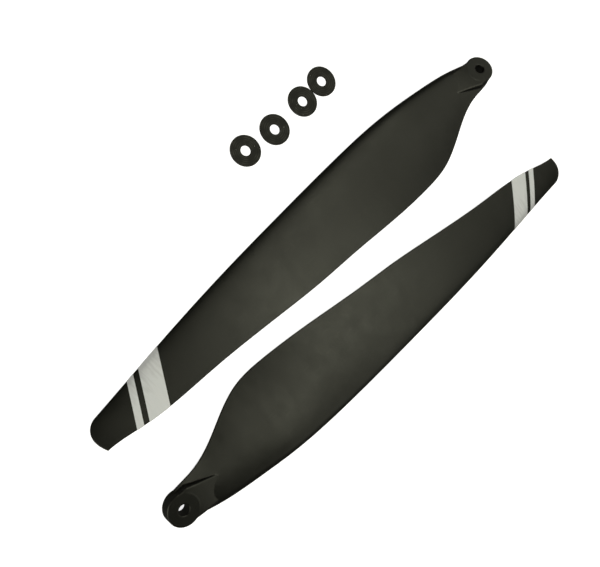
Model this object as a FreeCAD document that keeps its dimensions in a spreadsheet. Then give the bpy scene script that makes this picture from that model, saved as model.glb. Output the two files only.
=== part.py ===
import FreeCAD, Part
import math
import os

import Sketcher

# Folding rotor blade set, loose on a table: two identical clockwise blades, each with two
# reflective marker bands near its tip, and the four flat washers for the pivot bolts.
#
# A blade is drawn in its own frame, as it sits in a level rotor: the pivot bore is at the
# origin along +Z, the span runs along +X, the leading edge is on the -Y side and lift is +Z.
# The finished set is centred on the origin and rests on the plane Z = 0.

DIMENSIONS = {
    # Pivot lug and its bore
    "lug_radius": 10.9,
    "lug_height": 9.3,
    "lug_edge": 0.6,
    "bore_radius": 3.55,
    "bore_edge": 0.3,
    # Neck block that carries the lug's full height into the blade
    "neck_root": 10.2,
    "neck_mid": 22.0,
    "neck_front": 14.0,
    "neck_end": 34.0,
    "neck_end_rear": 2.0,
    "neck_end_height": 2.4,
    "neck_rear_start": 9.0,
    "neck_level": 11.0,
    "neck_bend": 90.0,
    "neck_edge": 1.0,
    # Aerofoil outline: places along the chord, heights as shares of the section's height
    "front_place": 0.25,
    "rear_place": 0.65,
    "upper_nose": 0.38,
    "upper_front": 0.66,
    "upper_rear": 0.52,
    "lower_nose": 0.32,
    "lower_front": 0.36,
    "lower_rear": 0.49,
    "trailing_width": 0.7,
    # Rounded tip, seen from above
    "tip_reach": 390.9,
    "tip_middle": 11.5,
    "tip_radius": 23.0,
    "tip_front_radius": 11.0,
    "tip_front_edge": 22.3,
    "tip_rear_radius": 2.6,
    "tip_rear_edge": 0.2,
    # Marker bands: where each meets the leading edge, its width, the slant of both and how
    # much further out than that the film lies on either blade
    "film": 0.2,
    "band_edge": 25.6,
    "band_slant": 33.3,
    "wide_band_start": 324.9,
    "wide_band_width": 14.1,
    "narrow_band_start": 346.1,
    "narrow_band_width": 4.6,
    "band_shift_1": 0.1,
    "band_shift_2": -1.0,
    # Pivot washers
    "washer_radius": 11.1,
    "washer_bore": 3.65,
    "washer_height": 1.0,
    "washer_edge": 0.1,
    # Lie of the blades on the table, and where blade 2's pivot is from blade 1's
    "lie_roll": 14.8,
    "lie_pitch": 0.47,
    "lie_lift": 7.15,
    "splay": 2.62,
    "root_gap_along": 381.3,
    "root_gap_across": 70.4,
    # Middle of the whole set's box, from blade 1's pivot
    "middle_along": 190.6,
    "middle_across": 14.68,
}

# Blade sections from the pivot outwards. The leading edge is straight over the outer part and
# the chord is widest a quarter of the way along; the pitch angle washes out towards the tip.
SECTION_FIELDS = ("station", "lead", "trail", "rise", "twist", "height")
SECTIONS = (
    (-3.0, -9.4, 10.4, 0.0, 5.5, 5.6),
    (18.0, -16.3, 12.1, 0.3, 6.2, 7.0),
    (36.0, -20.1, 16.2, 2.0, 12.0, 7.6),
    (54.0, -23.0, 23.8, 3.1, 15.0, 8.0),
    (74.0, -25.8, 30.5, 4.2, 16.3, 7.8),
    (100.0, -28.7, 32.2, 3.8, 13.6, 7.0),
    (135.0, -30.2, 30.3, 3.5, 10.3, 5.9),
    (185.0, -30.4, 24.8, 3.6, 8.5, 4.8),
    (215.0, -30.2, 22.0, 3.6, 7.9, 4.3),
    (245.0, -29.8, 18.0, 3.6, 7.4, 3.8),
    (310.0, -27.3, 9.1, 3.1, 6.4, 2.9),
    (365.0, -23.4, 2.1, 3.3, 4.3, 2.2),
    (400.0, -20.9, -1.8, 3.7, 1.8, 1.2),
)

# Washer centres from blade 1's pivot, before the set is centred
WASHERS = ((111.0, -71.5), (133.5, -69.2), (164.7, -66.7), (192.1, -68.4))

# How a sketch numbers its own axes and a piece's points
ROOT = -1
VERTICAL_AXIS = -2
START = 1
END = 2
CENTRE = 3


def make_sheet(doc):
    """Write every driving dimension to a cell of its own and name the cell."""
    sheet = doc.addObject("Spreadsheet::Sheet", "dims")
    values = dict(DIMENSIONS)
    for index, section in enumerate(SECTIONS):
        for field, value in zip(SECTION_FIELDS, section):
            values[f"{field}_{index}"] = value
    for row, (name, value) in enumerate(values.items(), start=1):
        sheet.set(f"A{row}", name)
        sheet.set(f"B{row}", str(value))
        sheet.setAlias(f"B{row}", name)
    doc.recompute()
    return sheet


def attach(sketch, body, role):
    """Lay a sketch on one of its own body's origin planes."""
    planes = body.Origin.OriginFeatures
    sketch.AttachmentSupport = [(next(p for p in planes if p.Role == role), "")]
    sketch.MapMode = "FlatFace"


def new_sketch(body, name, role):
    sketch = body.newObject("Sketcher::SketchObject", name)
    attach(sketch, body, role)
    return sketch


def bind(sketch, kind, *place_and_rule):
    """Add a dimension to a sketch and drive it from the sheet."""
    *place, rule = place_and_rule
    value = sketch.evalExpression(rule)
    index = sketch.addConstraint(Sketcher.Constraint(kind, *place, value))
    sketch.setExpression(f"Constraints[{index}]", rule)


def draw_spline(sketch, start_points):
    """Draw a cubic B-spline, show its control points and return their circles' numbers."""
    curve = Part.BSplineCurve()
    curve.buildFromPoles([FreeCAD.Vector(*point) for point in start_points], False, 3)
    spline = sketch.addGeometry(curve, False)
    sketch.exposeInternalGeometry(spline)
    return spline, [spline + 1 + number for number in range(len(start_points))]


def draw_section(body, index, film):
    """One aerofoil section: leading edge at the sketch's origin, chord along its x axis.

    film is the thickness added all round, for the bands that wrap the blade.
    """
    sketch = new_sketch(body, f"section_{index}", "YZ_Plane")
    turn = FreeCAD.Rotation(FreeCAD.Vector(0, 0, 1), -1)
    sketch.AttachmentOffset = FreeCAD.Placement(FreeCAD.Vector(), turn)
    twist = f"dims.twist_{index}"
    sketch.setExpression("AttachmentOffset.Base.x", f"dims.lead_{index} - {film} * cos({twist})")
    sketch.setExpression("AttachmentOffset.Base.y", f"dims.rise_{index} + {film} * sin({twist})")
    sketch.setExpression("AttachmentOffset.Base.z", f"dims.station_{index}")
    sketch.setExpression("AttachmentOffset.Rotation.Angle", f"-{twist}")
    chord = f"(dims.trail_{index} - dims.lead_{index}) / cos({twist})"
    height = f"dims.height_{index}"
    ends = []
    for side, sign in (("upper", 1), ("lower", -1)):
        guess = [(0, 0), (0, 3 * sign), (15, 6 * sign), (35, 5 * sign), (50, sign)]
        spline, poles = draw_spline(sketch, guess)
        ends.append(spline)
        sketch.addConstraint(Sketcher.Constraint("Coincident", poles[0], CENTRE, ROOT, START))
        sketch.addConstraint(Sketcher.Constraint("PointOnObject", poles[1], CENTRE, VERTICAL_AXIS))
        places = (f"dims.front_place * {chord} + {film}", f"dims.rear_place * {chord} + {film}",
                  f"{chord} + 2 * {film}")
        for pole, rule in zip(poles[2:], places):
            bind(sketch, "DistanceX", ROOT, START, pole, CENTRE, rule)
        heights = (f"dims.{side}_nose * {height} + {film}", f"dims.{side}_front * {height} + {film}",
                   f"dims.{side}_rear * {height} + {film}", f"dims.trailing_width / 2 + {film}")
        for pole, rule in zip(poles[1:], heights):
            span = (ROOT, START, pole, CENTRE) if sign > 0 else (pole, CENTRE, ROOT, START)
            bind(sketch, "DistanceY", *span, rule)
    edge = Part.LineSegment(FreeCAD.Vector(50, 1, 0), FreeCAD.Vector(50, -1, 0))
    line = sketch.addGeometry(edge, False)
    sketch.addConstraint(Sketcher.Constraint("Coincident", ends[0], END, line, START))
    sketch.addConstraint(Sketcher.Constraint("Coincident", line, END, ends[1], END))
    return sketch


def loft_sections(body, film):
    """Skin the blade through all its sections."""
    sections = [draw_section(body, index, film) for index in range(len(SECTIONS))]
    loft = body.newObject("PartDesign::AdditiveLoft", "aerofoil")
    loft.Profile = sections[0]
    loft.Sections = sections[1:]
    loft.Ruled = False
    return loft


def pad(body, name, sketch, length):
    """Thicken a sketch equally to both sides of its plane."""
    feature = body.newObject("PartDesign::Pad", name)
    feature.Profile = sketch
    feature.SideType = "Symmetric"
    feature.setExpression("Length", length)
    return feature


def cut_through(body, name, sketch):
    """Cut a sketch right through the body, to both sides of its plane."""
    feature = body.newObject("PartDesign::Pocket", name)
    feature.Profile = sketch
    feature.Type = "ThroughAll"
    feature.SideType = "Symmetric"
    return feature


def break_edges(body, kind, name, chosen, rule):
    """Fillet or chamfer every edge of the body so far for which chosen(edge) is true."""
    body.Document.recompute()
    base = body.Tip
    names = [f"Edge{number}" for number, edge in enumerate(base.Shape.Edges, start=1) if chosen(edge)]
    feature = body.newObject(f"PartDesign::{kind}", name)
    feature.Base = (base, names)
    feature.setExpression("Radius" if kind == "Fillet" else "Size", rule)
    return feature


def draw_circle(sketch, radius):
    """Draw a circle round the sketch's origin."""
    circle = Part.Circle(FreeCAD.Vector(), FreeCAD.Vector(0, 0, 1), 5)
    number = sketch.addGeometry(circle, False)
    sketch.addConstraint(Sketcher.Constraint("Coincident", number, CENTRE, ROOT, START))
    bind(sketch, "Radius", number, radius)


def draw_arc(sketch, centre, radius, begin, finish):
    """Draw an arc between two angles in degrees and return its number."""
    circle = Part.Circle(FreeCAD.Vector(*centre), FreeCAD.Vector(0, 0, 1), radius)
    arc = Part.ArcOfCircle(circle, math.radians(begin), math.radians(finish))
    return sketch.addGeometry(arc, False)


def draw_line(sketch, begin, end):
    return sketch.addGeometry(Part.LineSegment(FreeCAD.Vector(*begin), FreeCAD.Vector(*end)), False)


def chain(sketch, kind, *pieces):
    """Join each piece's end to the next one's start, as a corner or as a tangent."""
    for piece, following in zip(pieces, pieces[1:]):
        sketch.addConstraint(Sketcher.Constraint(kind, piece, END, following, START))


def fix_corner(sketch, line, x_rule, y_rule, y_sign):
    """Fix a line's start ahead of the sketch's origin, above it (y_sign 1) or below it (-1)."""
    if x_rule is None:
        sketch.addConstraint(Sketcher.Constraint("PointOnObject", line, START, VERTICAL_AXIS))
    else:
        bind(sketch, "DistanceX", ROOT, START, line, START, x_rule)
    span = (ROOT, START, line, START) if y_sign > 0 else (line, START, ROOT, START)
    bind(sketch, "DistanceY", *span, y_rule)


def draw_polygon(sketch, corners):
    """Draw a closed polygon; each corner has a rough place and the rules that fix it."""
    guesses = [guess for guess, _rules in corners]
    lines = [draw_line(sketch, *span) for span in zip(guesses, guesses[1:] + guesses[:1])]
    chain(sketch, "Coincident", *lines, lines[0])
    for line, (_guess, rules) in zip(lines, corners):
        fix_corner(sketch, line, *rules)


def add_neck(body, values):
    """Block of the lug's height that runs into the blade and ramps down under its surfaces."""
    outline = new_sketch(body, "neck_outline", "XY_Plane")
    draw_polygon(outline, [
        ((0, -10), (None, "dims.neck_root", -1)),
        ((22, -14), ("dims.neck_mid", "dims.neck_front", -1)),
        ((36, -14), ("dims.neck_end", "dims.neck_front", -1)),
        ((36, -3), ("dims.neck_end", "dims.neck_end_rear", -1)),
        ((9, 10), ("dims.neck_rear_start", "dims.neck_root", 1)),
        ((0, 10), (None, "dims.neck_root", 1)),
    ])
    pad(body, "neck", outline, "dims.lug_height")
    ramps = new_sketch(body, "neck_ramp_outlines", "XZ_Plane")
    for sign in (1, -1):
        draw_polygon(ramps, [
            ((11, 4.65 * sign), ("dims.neck_level", "dims.lug_height / 2", sign)),
            ((36, sign), ("dims.neck_end", "dims.neck_end_height / 2", sign)),
            ((36, 4.65 * sign), ("dims.neck_end", "dims.lug_height / 2", sign)),
        ])
    cut_through(body, "neck_ramps", ramps)
    level = values["neck_level"]
    break_edges(body, "Fillet", "neck_ramp_bends",
                lambda edge: all(abs(v.X - level) < 0.01 for v in edge.Vertexes), "dims.neck_bend")
    end = values["neck_end"]
    break_edges(body, "Fillet", "neck_edges",
                lambda edge: is_block_edge(edge, end), "dims.neck_edge")


def is_block_edge(edge, end):
    """True for the neck's long upper and lower edges, not its upright ones or its two ends."""
    box = edge.BoundBox
    upright = box.ZMin < 0 < box.ZMax
    across = box.XMax < 0.01 or box.XMin > end - 0.01
    bend = box.XLength < 0.01 or (box.YLength > 15 and box.XLength < 5)
    return not (upright or across or bend)


def add_lug(body):
    """Round lug with softened rims, turned about the pivot axis."""
    sketch = new_sketch(body, "lug_half_section", "XZ_Plane")
    lower = draw_line(sketch, (0, -4.6), (9.9, -4.6))
    lower_rim = draw_arc(sketch, (9.9, -4), 0.6, -90, 0)
    wall = draw_line(sketch, (10.5, -4), (10.5, 4))
    upper_rim = draw_arc(sketch, (9.9, 4), 0.6, 0, 90)
    upper = draw_line(sketch, (9.9, 4.6), (0, 4.6))
    axis = draw_line(sketch, (0, 4.6), (0, -4.6))
    chain(sketch, "Tangent", lower, lower_rim, wall, upper_rim, upper)
    chain(sketch, "Coincident", upper, axis, lower)
    for line in (lower, upper):
        sketch.addConstraint(Sketcher.Constraint("Horizontal", line))
    for line in (wall, axis):
        sketch.addConstraint(Sketcher.Constraint("Vertical", line))
    sketch.addConstraint(Sketcher.Constraint("Symmetric", axis, START, axis, END, ROOT, START))
    sketch.addConstraint(Sketcher.Constraint("Equal", lower_rim, upper_rim))
    bind(sketch, "Radius", lower_rim, "dims.lug_edge")
    bind(sketch, "DistanceX", ROOT, START, wall, START, "dims.lug_radius")
    bind(sketch, "DistanceY", axis, END, axis, START, "dims.lug_height")
    lug = body.newObject("PartDesign::Revolution", "lug")
    lug.Profile = sketch
    lug.ReferenceAxis = (sketch, ["V_Axis"])


def add_bore(body, values):
    """Pivot bore, its mouths broken by a small chamfer."""
    sketch = new_sketch(body, "bore_outline", "XY_Plane")
    draw_circle(sketch, "dims.bore_radius")
    cut_through(body, "bore", sketch)
    radius = values["bore_radius"]
    break_edges(body, "Chamfer", "bore_mouths", lambda edge: is_circle(edge, radius), "dims.bore_edge")


def is_circle(edge, radius):
    return isinstance(edge.Curve, Part.Circle) and abs(edge.Curve.Radius - radius) < 0.01


def trim_tip(body):
    """Cut away all that lies beyond the rounded tip, seen from above."""
    sketch = new_sketch(body, "tip_outline", "XY_Plane")
    front = draw_arc(sketch, (382.8, -14.3), 8, -90, -12)
    end = draw_arc(sketch, (368, -11.5), 23, -12, 22)
    rear = draw_arc(sketch, (387.3, -1.4), 1.6, 22, 90)
    rise = draw_line(sketch, (387.3, 0.2), (387.3, 20))
    top = draw_line(sketch, (387.3, 20), (420, 20))
    side = draw_line(sketch, (420, 20), (420, -40))
    bottom = draw_line(sketch, (420, -40), (382.8, -40))
    back = draw_line(sketch, (382.8, -40), (382.8, -22.3))
    chain(sketch, "Tangent", front, end, rear)
    chain(sketch, "Coincident", rear, rise, top, side, bottom, back, front)
    for line in (rise, side, back):
        sketch.addConstraint(Sketcher.Constraint("Vertical", line))
    for line in (top, bottom):
        sketch.addConstraint(Sketcher.Constraint("Horizontal", line))
    sketch.addConstraint(Sketcher.Constraint("Vertical", front, CENTRE, front, START))
    sketch.addConstraint(Sketcher.Constraint("Vertical", rear, CENTRE, rear, END))
    bind(sketch, "Radius", front, "dims.tip_front_radius")
    bind(sketch, "Radius", end, "dims.tip_radius")
    bind(sketch, "Radius", rear, "dims.tip_rear_radius")
    bind(sketch, "DistanceX", ROOT, START, end, CENTRE, "dims.tip_reach - dims.tip_radius")
    bind(sketch, "DistanceY", end, CENTRE, ROOT, START, "dims.tip_middle")
    bind(sketch, "DistanceY", front, START, ROOT, START, "dims.tip_front_edge")
    bind(sketch, "DistanceY", ROOT, START, rear, END, "dims.tip_rear_edge")
    bind(sketch, "DistanceX", ROOT, START, side, START, "dims.tip_reach + dims.tip_radius")
    bind(sketch, "DistanceY", ROOT, START, top, START, "dims.tip_radius")
    bind(sketch, "DistanceY", bottom, START, ROOT, START, "2 * dims.tip_radius")
    cut_through(body, "tip", sketch)


def make_blade(doc, label, values, lie):
    """One moulded blade with its lug, neck, bore and tip, laid down at its placement."""
    neck = doc.addObject("PartDesign::Body", f"{label}_neck")
    add_neck(neck, values)
    body = doc.addObject("PartDesign::Body", label)
    loft_sections(body, "0")
    add_lug(body)
    union = body.newObject("PartDesign::Boolean", "blade_with_neck")
    union.setObjects([neck])
    add_bore(body, values)
    trim_tip(body)
    body.Placement = lie
    return body


def make_skin(doc, label, lie):
    """The blade's outline grown by the film's thickness, from which its bands are cut."""
    body = doc.addObject("PartDesign::Body", f"{label}_skin")
    loft_sections(body, "dims.film")
    body.Placement = lie
    return body


def make_band(doc, blade, skin, name, shift, values, lie):
    """A strip of film round the blade: the grown outline inside a slanted slab, less the blade."""
    start = FreeCAD.Vector(values[f"{name}_start"] + shift, -values["band_edge"], 0)
    slant = FreeCAD.Rotation(FreeCAD.Vector(0, 0, 1), -values["band_slant"])
    span = 2 * values["tip_radius"]
    centring = FreeCAD.Placement(FreeCAD.Vector(0, -span / 4, -span / 2), FreeCAD.Rotation())
    slab = doc.addObject("Part::Box", f"{blade.Label}_{name}_slab")
    slab.setExpression("Length", f"dims.{name}_width")
    slab.setExpression("Width", "3 * dims.tip_radius")
    slab.setExpression("Height", "2 * dims.tip_radius")
    slab.Placement = lie.multiply(FreeCAD.Placement(start, slant)).multiply(centring)
    strip = doc.addObject("Part::Common", f"{blade.Label}_{name}_strip")
    strip.Base = skin
    strip.Tool = slab
    band = doc.addObject("Part::Cut", f"{blade.Label}_{name}")
    band.Base = strip
    band.Tool = blade
    return band


def make_washer(doc, label, place):
    """Flat washer resting on the table, its four rims lightly chamfered."""
    body = doc.addObject("PartDesign::Body", label)
    sketch = new_sketch(body, "washer_outline", "XY_Plane")
    draw_circle(sketch, "dims.washer_radius")
    draw_circle(sketch, "dims.washer_bore")
    plate = body.newObject("PartDesign::Pad", "plate")
    plate.Profile = sketch
    plate.setExpression("Length", "dims.washer_height")
    break_edges(body, "Chamfer", "rims",
                lambda edge: isinstance(edge.Curve, Part.Circle), "dims.washer_edge")
    body.Placement = FreeCAD.Placement(place, FreeCAD.Rotation())
    return body


def lay_blade(values, yaw, pivot):
    """Placement of a blade at rest on its lug, its belly and the film at its leading edge."""
    turn = FreeCAD.Rotation(yaw, values["lie_pitch"], values["lie_roll"])
    return FreeCAD.Placement(pivot, turn)


def build():
    """Make the whole set, check it and write one file for each piece."""
    doc = FreeCAD.newDocument("blade_set")
    make_sheet(doc)
    values = DIMENSIONS
    middle = FreeCAD.Vector(values["middle_along"], values["middle_across"], 0)
    gap = FreeCAD.Vector(values["root_gap_along"], values["root_gap_across"], 0)
    lift = FreeCAD.Vector(0, 0, values["lie_lift"])
    lies = (lay_blade(values, values["splay"], lift - middle),
            lay_blade(values, 180 - values["splay"], lift + gap - middle))
    nodes = []
    for number, lie in enumerate(lies, start=1):
        blade = make_blade(doc, f"blade_{number}", values, lie)
        skin = make_skin(doc, blade.Label, lie)
        shift = values[f"band_shift_{number}"]
        nodes.append(blade)
        for name in ("wide_band", "narrow_band"):
            nodes.append(make_band(doc, blade, skin, name, shift, values, lie))
    for number, place in enumerate(WASHERS, start=1):
        nodes.append(make_washer(doc, f"washer_{number}", FreeCAD.Vector(*place, 0) - middle))
    doc.recompute()
    check(doc, nodes)
    os.makedirs("parts", exist_ok=True)
    for node in nodes:
        node.Shape.exportStep(f"parts/{node.Label}.step")


def check(doc, nodes):
    """Stop if anything failed to compute, or if a piece isn't one sound solid on the table."""
    for item in doc.Objects:
        if "Invalid" in item.State or "Error" in item.State:
            raise RuntimeError(f"{item.Label} is {item.State}")
    whole = FreeCAD.BoundBox()
    for node in nodes:
        shape = node.Shape
        if shape.isNull() or not shape.isValid() or len(shape.Solids) != 1:
            raise RuntimeError(f"{node.Label} isn't one valid solid")
        box = shape.optimalBoundingBox()
        whole.add(box)
        print(node.Label, round(shape.Volume, 1), box)
    print("whole set", whole, "middle", whole.Center)


build()
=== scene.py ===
import math

import bpy
from mathutils import Matrix, Vector

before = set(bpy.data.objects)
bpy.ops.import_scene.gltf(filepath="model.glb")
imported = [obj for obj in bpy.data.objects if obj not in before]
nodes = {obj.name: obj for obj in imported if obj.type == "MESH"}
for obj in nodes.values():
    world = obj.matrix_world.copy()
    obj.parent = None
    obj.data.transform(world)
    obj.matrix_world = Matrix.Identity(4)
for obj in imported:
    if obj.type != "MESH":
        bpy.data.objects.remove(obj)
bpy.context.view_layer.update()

# Two satin black folding rotor blades with light marker bands, and four black washers, loose on
# a white table. Every length is in metres.

# The photograph's camera
CAMERA_PLACE = Vector((0.2069, -0.0665, 0.4494))
CAMERA_RIGHT = Vector((-0.67083, 0.64520, 0.36564))
CAMERA_DOWN = Vector((0.65161, 0.74822, -0.12481))
CAMERA_FORWARD = Vector((-0.35411, 0.15453, -0.92235))
FOCAL_LENGTH = 42.74
SENSOR_WIDTH = 36

# Studio light: each softbox has its direction from the table, its size and its brightness
SOFTBOX_DISTANCE = 1.2
LIGHT_COLOUR = (1.0, 1.0, 0.88)
SOFTBOXES = {
    "overhead": ((-0.25, 0.10, 0.96), (0.20, 0.90), 4.0),
    "overhead_near_end": ((-0.42, -0.22, 0.88), (0.26, 0.31), 2.5),
    "overhead_far_end": ((-0.42, 0.40, 0.81), (0.26, 0.74), 2.0),
    "overhead_side": ((-0.62, 0.0, 0.78), (0.31, 0.60), 0.5),
    "far_side": ((0.85, 0.0, 0.53), (0.46, 0.96), 4.3),
    "near_side": ((-0.85, 0.0, 0.53), (0.46, 0.96), 0.8),
    "back_side": ((-0.2, 0.78, 0.59), (0.49, 0.40), 0.95),
}
ROOM_BRIGHTNESS = 0.06
TABLE_SIZE = 30.0
TABLE_GLOW = 0.85

# Colours, as linear red, green and blue
BLADE_BLACK = (0.0024, 0.0025, 0.0018)
BLADE_BLACK_GREY = (0.0032, 0.0032, 0.0028)
BLADE_MOTTLE = (0.0042, 0.0041, 0.0034)
FIBRE_GREY = (0.008, 0.008, 0.0072)
FILM_GREY = (0.85, 0.87, 0.89)
FILM_LIGHT_GREY = (0.90, 0.91, 0.92)
FILM_STREAK = (0.95, 0.95, 0.96)
# Painted shade: the film's grey where it rolls over the leading edge
FILM_PAINTED_NOSE_SHADE = (0.50, 0.50, 0.52)
WASHER_BLACK = (0.0005, 0.0005, 0.0004)
WASHER_RING = (0.026, 0.026, 0.021)
SPECK_GREY = (0.45, 0.45, 0.42)
CARD_WHITES = ((0.86, 0.86, 0.85), (0.9, 0.9, 0.9))
GLOSS_TINT = (1.0, 1.0, 0.88, 1)

# Depths of the relief and how far the light rounds off an edge
BLADE_GRAIN_DEPTH = 0.00002
FIBRE_DEPTH = 0.000008
BLADE_EDGE_ROUNDING = 0.0012
FILM_GRAIN_DEPTH = 0.00001
FILM_STREAK_DEPTH = 0.000012
WASHER_RING_DEPTH = 0.00003
WASHER_GRAIN_DEPTH = 0.00001
WASHER_EDGE_ROUNDING = 0.0003
CARD_FIBRE_DEPTH = 0.00003

# Rings on a washer: the radians of their wave in one washer's width, and how far they wander in widths
RING_RATE = 95
RING_WOBBLE = 0.012

# How far the film leans over towards the leading edge where the painted shade on its nose begins and
# ends
PAINTED_NOSE_SHADE_LEAN = (0.13, 0.33)


def add_node(tree, kind, inputs=None, **settings):
    """Add a shader node. Each input is a fixed value, or a socket that is linked to it."""
    node = tree.nodes.new(f"ShaderNode{kind}")
    for name, value in settings.items():
        setattr(node, name, value)
    for name, value in (inputs or {}).items():
        if isinstance(value, bpy.types.NodeSocket):
            tree.links.new(value, node.inputs[name])
        else:
            node.inputs[name].default_value = value
    return node


def noise(tree, place, scale, detail=2.0, stretch=(1, 1, 1), turn=(0, 0, 0)):
    """Noise between 0 and 1 with about scale lumps in a metre, drawn out by stretch."""
    mapping = add_node(tree, "Mapping", {"Vector": place, "Scale": stretch, "Rotation": turn})
    texture = add_node(tree, "TexNoise", {
        "Vector": mapping.outputs[0], "Scale": scale, "Detail": detail, "Roughness": 0.55})
    return texture.outputs["Fac"]


def remap(tree, value, low, high, new_low, new_high):
    """Turn the range from low to high into the new one, and hold what lies outside at its ends."""
    node = add_node(tree, "MapRange", {
        "Value": value, "From Min": low, "From Max": high, "To Min": new_low, "To Max": new_high})
    return node.outputs["Result"]


def calculate(tree, operation, *values):
    """Result of one sum on numbers or sockets."""
    return add_node(tree, "Math", dict(enumerate(values)), operation=operation).outputs[0]


def mix(tree, factor, first, second):
    """Mix two colours."""
    node = tree.nodes.new("ShaderNodeMix")
    node.data_type = "RGBA"
    for index, value in ((0, factor), (6, first), (7, second)):
        if isinstance(value, bpy.types.NodeSocket):
            tree.links.new(value, node.inputs[index])
        else:
            node.inputs[index].default_value = value if index == 0 else (*value, 1)
    return node.outputs[2]


def bump(tree, height, depth, normal=None):
    """Raise the surface by up to depth where height is 1, on top of any relief in normal."""
    inputs = {"Height": height, "Distance": depth, "Strength": 1.0}
    if normal is not None:
        inputs["Normal"] = normal
    return add_node(tree, "Bump", inputs).outputs["Normal"]


def round_edges(tree, radius, samples):
    """Normals that round off every edge by radius."""
    return add_node(tree, "Bevel", {"Radius": radius}, samples=samples).outputs["Normal"]


def new_material(name, constants):
    """A principled material with its unvarying values set, its node tree and its shader."""
    material = bpy.data.materials.new(name)
    material.use_nodes = True
    shader = material.node_tree.nodes["Principled BSDF"]
    for socket, value in constants.items():
        shader.inputs[socket].default_value = value
    return material, material.node_tree, shader


def wire(tree, shader, colour, roughness, normal):
    tree.links.new(colour, shader.inputs["Base Color"])
    tree.links.new(roughness, shader.inputs["Roughness"])
    tree.links.new(normal, shader.inputs["Normal"])


def make_blade_material():
    """Moulded nylon filled with chopped carbon fibre: satin, finely grained, faintly mottled."""
    material, tree, shader = new_material("blade_composite", {"IOR": 1.5, "Specular Tint": GLOSS_TINT})
    place = add_node(tree, "TexCoord").outputs["Object"]
    flow = noise(tree, place, 26, 4.0, (0.35, 1, 1))
    mottle = noise(tree, place, 90, 3.0)
    grain = noise(tree, place, 1500, 3.0)
    fibres = noise(tree, place, 900, 2.0, (0.12, 1, 1), (0, 0, 0.35))
    cross_fibres = noise(tree, place, 900, 2.0, (1, 0.12, 1), (0, 0, 0.25))
    flecks = calculate(tree, "MAXIMUM", remap(tree, fibres, 0.62, 0.72, 0, 1),
                       remap(tree, cross_fibres, 0.64, 0.74, 0, 1))
    tint = mix(tree, remap(tree, flow, 0.35, 0.65, 0, 1), BLADE_BLACK, BLADE_BLACK_GREY)
    tint = mix(tree, remap(tree, mottle, 0.3, 0.7, 0, 0.4), tint, BLADE_MOTTLE)
    tint = mix(tree, calculate(tree, "MULTIPLY", flecks, 0.5), tint, FIBRE_GREY)
    roughness = calculate(tree, "ADD", remap(tree, flow, 0.3, 0.7, 0.34, 0.40),
                          remap(tree, mottle, 0.3, 0.7, -0.03, 0.03))
    roughness = calculate(tree, "SUBTRACT", roughness, calculate(tree, "MULTIPLY", flecks, 0.05))
    soft = round_edges(tree, BLADE_EDGE_ROUNDING, 8)
    normal = bump(tree, grain, BLADE_GRAIN_DEPTH, bump(tree, flecks, FIBRE_DEPTH, soft))
    wire(tree, shader, tint, roughness, normal)
    return material


def make_film_material(name, front):
    """Light grey marker film: fine grain, faint streaks, and painted shade where it rolls over the
    nose.

    front is the way that the blade's leading edge faces on the table.
    """
    material, tree, shader = new_material(name, {"IOR": 1.45})
    place = add_node(tree, "TexCoord").outputs["Object"]
    cloud = noise(tree, place, 60, 3.0)
    streaks = noise(tree, place, 500, 2.0, (1, 0.1, 1), (0, 0, 0.5))
    grain = noise(tree, place, 2500)
    tint = mix(tree, remap(tree, cloud, 0.3, 0.7, 0, 1), FILM_GREY, FILM_LIGHT_GREY)
    tint = mix(tree, remap(tree, streaks, 0.35, 0.65, 0, 0.35), tint, FILM_STREAK)
    facing = add_node(tree, "NewGeometry").outputs["Normal"]
    painted_shade_lean = add_node(tree, "VectorMath", {0: facing, 1: front}, operation="DOT_PRODUCT").outputs["Value"]
    painted_shade_lean = calculate(tree, "ADD", painted_shade_lean, remap(tree, streaks, 0.3, 0.7, -0.05, 0.05))
    # Painted shade: the film turns darker where its surface leans towards the leading edge
    tint = mix(tree, remap(tree, painted_shade_lean, *PAINTED_NOSE_SHADE_LEAN, 0, 0.8), tint, FILM_PAINTED_NOSE_SHADE)
    roughness = remap(tree, grain, 0.3, 0.7, 0.38, 0.52)
    normal = bump(tree, grain, FILM_GRAIN_DEPTH, bump(tree, streaks, FILM_STREAK_DEPTH))
    wire(tree, shader, tint, roughness, normal)
    return material


def make_washer_material():
    """Black plastic with turned rings round the hole and a few pale specks."""
    material, tree, shader = new_material("washer_plastic", {
        "IOR": 1.5, "Specular IOR Level": 0.34, "Specular Tint": GLOSS_TINT})
    coordinates = add_node(tree, "TexCoord")
    place = coordinates.outputs["Object"]
    flat = add_node(tree, "Mapping", {
        "Vector": coordinates.outputs["Generated"], "Location": (-0.5, -0.5, 0), "Scale": (1, 1, 0)})
    radius = add_node(tree, "VectorMath", {0: flat.outputs[0]}, operation="LENGTH").outputs["Value"]
    wobble = remap(tree, noise(tree, place, 120), 0, 1, -RING_WOBBLE, RING_WOBBLE)
    phase = calculate(tree, "MULTIPLY", calculate(tree, "ADD", radius, wobble), RING_RATE)
    patches = remap(tree, noise(tree, place, 160, 3.0), 0.4, 0.65, 0.15, 1)
    rings = remap(tree, calculate(tree, "SINE", phase), -1, 1, 0, 1)
    rings = calculate(tree, "MULTIPLY", rings, patches)
    specks = remap(tree, noise(tree, place, 1000, 1.0), 0.75, 0.78, 0, 1)
    grain = noise(tree, place, 2200)
    tint = mix(tree, rings, WASHER_BLACK, WASHER_RING)
    tint = mix(tree, specks, tint, SPECK_GREY)
    roughness = remap(tree, rings, 0, 1, 0.55, 0.38)
    soft = round_edges(tree, WASHER_EDGE_ROUNDING, 4)
    normal = bump(tree, rings, WASHER_RING_DEPTH, bump(tree, grain, WASHER_GRAIN_DEPTH, soft))
    wire(tree, shader, tint, roughness, normal)
    return material


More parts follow.
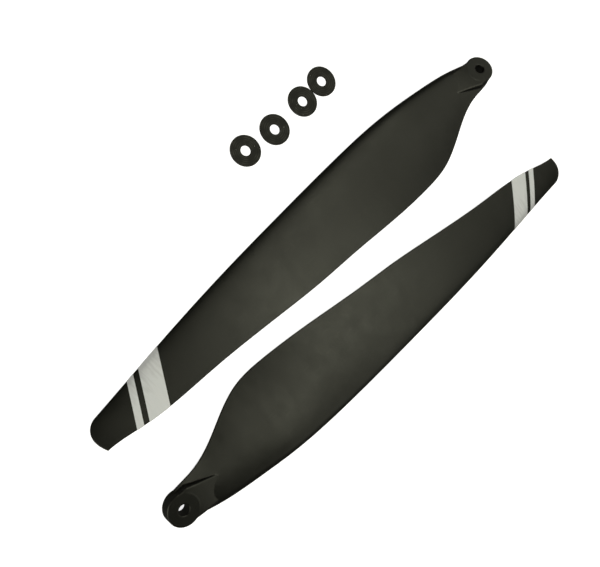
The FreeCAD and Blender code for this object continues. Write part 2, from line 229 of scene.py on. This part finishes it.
def make_table_material():
    """Overexposed white card, which glows enough to wash out the shadows on it."""
    material, tree, shader = new_material("white_card", {
        "Emission Color": (1, 1, 1, 1), "Emission Strength": TABLE_GLOW})
    place = add_node(tree, "TexCoord").outputs["Object"]
    fibre = noise(tree, place, 400, 3.0)
    tint = mix(tree, fibre, *CARD_WHITES)
    roughness = remap(tree, fibre, 0, 1, 0.8, 0.95)
    wire(tree, shader, tint, roughness, bump(tree, fibre, CARD_FIBRE_DEPTH))
    return material


def dress_nodes():
    """Give every CAD node its material. A band's name begins with its blade's name and a line."""
    looks = {"blade_1_": make_film_material("film_1", (0, -1, 0)),
             "blade_2_": make_film_material("film_2", (0, 1, 0)),
             "washer": make_washer_material()}
    blade_look = make_blade_material()
    for name, node in nodes.items():
        look = next((look for word, look in looks.items() if word in name), blade_look)
        for slot in node.material_slots:
            slot.material = look


def add_table():
    """White card under the set, kept out of the gloss so that the blades' side walls stay dark."""
    bpy.ops.mesh.primitive_plane_add(size=TABLE_SIZE)
    table = bpy.context.object
    table.name = "table"
    table.data.materials.append(make_table_material())
    table.visible_glossy = False


def add_softbox(name, direction, size, brightness):
    """Large soft light that faces the table. brightness is as seen from the table."""
    data = bpy.data.lights.new(name, "AREA")
    data.shape = "RECTANGLE"
    data.size, data.size_y = size
    data.energy = brightness * math.pi * size[0] * size[1]
    data.color = LIGHT_COLOUR
    light = bpy.data.objects.new(name, data)
    back = Vector(direction).normalized()
    side = (Vector((1, 0, 0)) - back * back.x).normalized()
    turn = Matrix((side, back.cross(side), back)).transposed()
    light.matrix_world = Matrix.Translation(back * SOFTBOX_DISTANCE) @ turn.to_4x4()
    light.visible_camera = False
    bpy.context.scene.collection.objects.link(light)


def set_surround():
    """White beyond the table for the camera, and a dim room for everything else."""
    world = bpy.data.worlds.new("studio")
    bpy.context.scene.world = world
    world.use_nodes = True
    tree = world.node_tree
    tree.nodes.clear()
    room = add_node(tree, "Background", {"Color": (*LIGHT_COLOUR, 1), "Strength": ROOM_BRIGHTNESS})
    white = add_node(tree, "Background", {"Color": (1, 1, 1, 1)})
    seen = add_node(tree, "LightPath").outputs["Is Camera Ray"]
    both = add_node(tree, "MixShader", {0: seen, 1: room.outputs[0], 2: white.outputs[0]})
    add_node(tree, "OutputWorld", {"Surface": both.outputs[0]})


def add_camera():
    data = bpy.data.cameras.new("camera")
    data.lens = FOCAL_LENGTH
    data.sensor_width = SENSOR_WIDTH
    camera = bpy.data.objects.new("camera", data)
    turn = Matrix((CAMERA_RIGHT, -CAMERA_DOWN, -CAMERA_FORWARD)).transposed()
    camera.matrix_world = Matrix.Translation(CAMERA_PLACE) @ turn.to_4x4()
    bpy.context.scene.collection.objects.link(camera)
    bpy.context.scene.camera = camera


add_camera()
dress_nodes()
add_table()
for name, softbox in SOFTBOXES.items():
    add_softbox(name, *softbox)
set_surround()
bpy.context.scene.view_settings.view_transform = "Standard"
